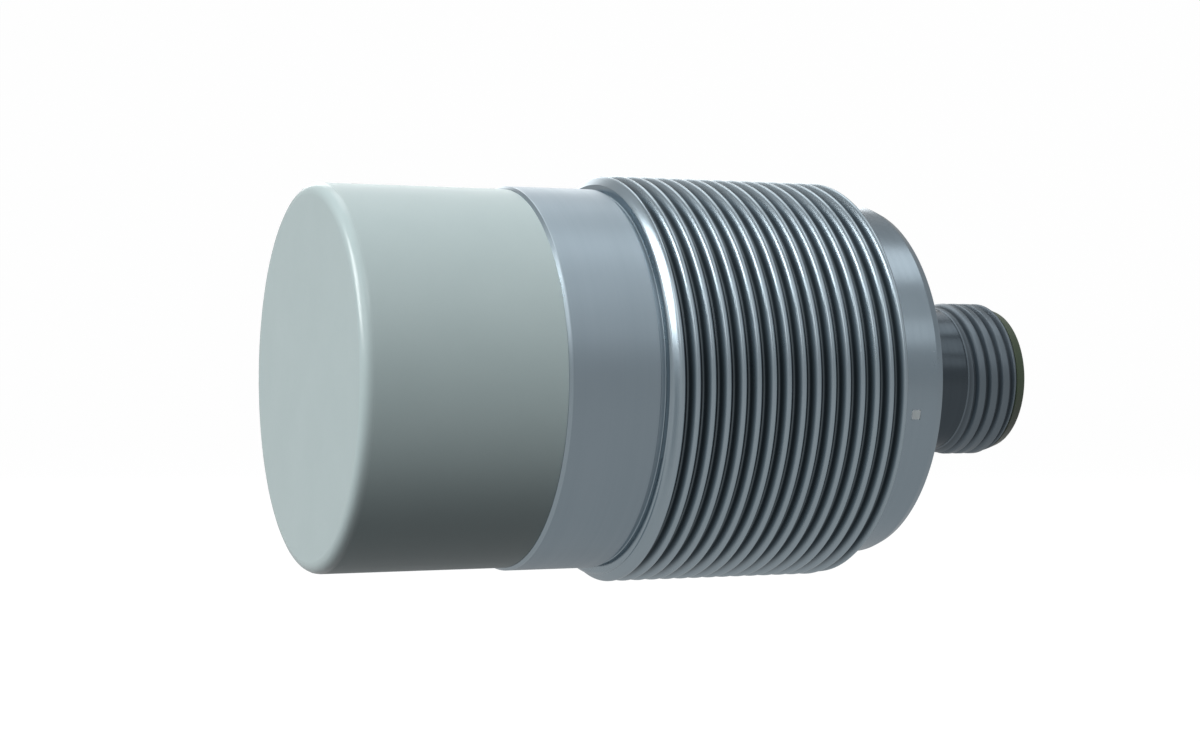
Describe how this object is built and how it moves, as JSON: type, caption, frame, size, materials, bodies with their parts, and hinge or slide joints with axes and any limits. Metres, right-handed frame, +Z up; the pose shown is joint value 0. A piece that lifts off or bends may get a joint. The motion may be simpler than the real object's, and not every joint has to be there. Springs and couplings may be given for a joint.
{
  "type": "inductive proximity sensor",
  "caption": "Short cylindrical inductive proximity sensor with a plastic sensing cap, a threaded metal sleeve and a round threaded plug connector.",
  "frame": {"origin": "centre of the flat sensing face", "axes": "+X along the sensor from the sensing face to the plug connector, +Z up, +Y away from a viewer who looks at the sensor's side"},
  "size_m": [0.0562, 0.03, 0.03],
  "materials": {
    "cap_plastic": "fine matt moulded, pale grey green",
    "housing_metal": "turned, satin",
    "cover_metal": "turned, satin",
    "plug_metal": "dark bright plating",
    "carrier_plastic": "satin, olive green",
    "contact_gold": "gold flash, bright",
    "window_plastic": "smoky translucent",
    "led_plastic": "clear amber",
    "seal_rubber": "matt black",
    "ferrite": "sintered, dark grey",
    "bobbin_plastic": "natural, satin",
    "copper": "enamelled copper wire",
    "holder_plastic": "satin, black",
    "board_laminate": "green solder mask",
    "chip_plastic": "moulded, black",
    "lead_plastic": "insulated wire",
    "capacitor_body": "tan, satin",
    "resistor_body": "black glaze"
  },
  "bodies": {
    "root": {"sensing_cap": "cap_plastic", "cap_seal": "seal_rubber", "housing_sleeve": "housing_metal", "rear_cover": "cover_metal", "cover_seal": "seal_rubber", "led_board": "board_laminate", "connector_shell": "plug_metal", "connector_seal": "seal_rubber", "contact_carrier": "carrier_plastic", "ferrite_core": "ferrite", "coil_bobbin": "bobbin_plastic", "coil_winding": "copper", "coil_lead_1": "copper", "coil_lead_2": "copper", "core_holder": "holder_plastic", "circuit_board": "board_laminate", "sensor_chip": "chip_plastic", "output_transistor": "chip_plastic", "protection_diode": "chip_plastic", "light_window_1": "window_plastic", "status_led_1": "led_plastic", "contact_pin_1": "contact_gold", "connector_lead_1": "lead_plastic", "light_window_2": "window_plastic", "status_led_2": "led_plastic", "contact_pin_2": "contact_gold", "connector_lead_2": "lead_plastic", "light_window_3": "window_plastic", "status_led_3": "led_plastic", "contact_pin_3": "contact_gold", "connector_lead_3": "lead_plastic", "light_window_4": "window_plastic", "status_led_4": "led_plastic", "contact_pin_4": "contact_gold", "connector_lead_4": "lead_plastic", "capacitor_1": "capacitor_body", "capacitor_2": "capacitor_body", "capacitor_3": "capacitor_body", "resistor_1": "resistor_body", "resistor_2": "resistor_body", "resistor_3": "resistor_body", "resistor_4": "resistor_body", "resistor_5": "resistor_body", "resistor_6": "resistor_body"}
  },
  "joints": []
}
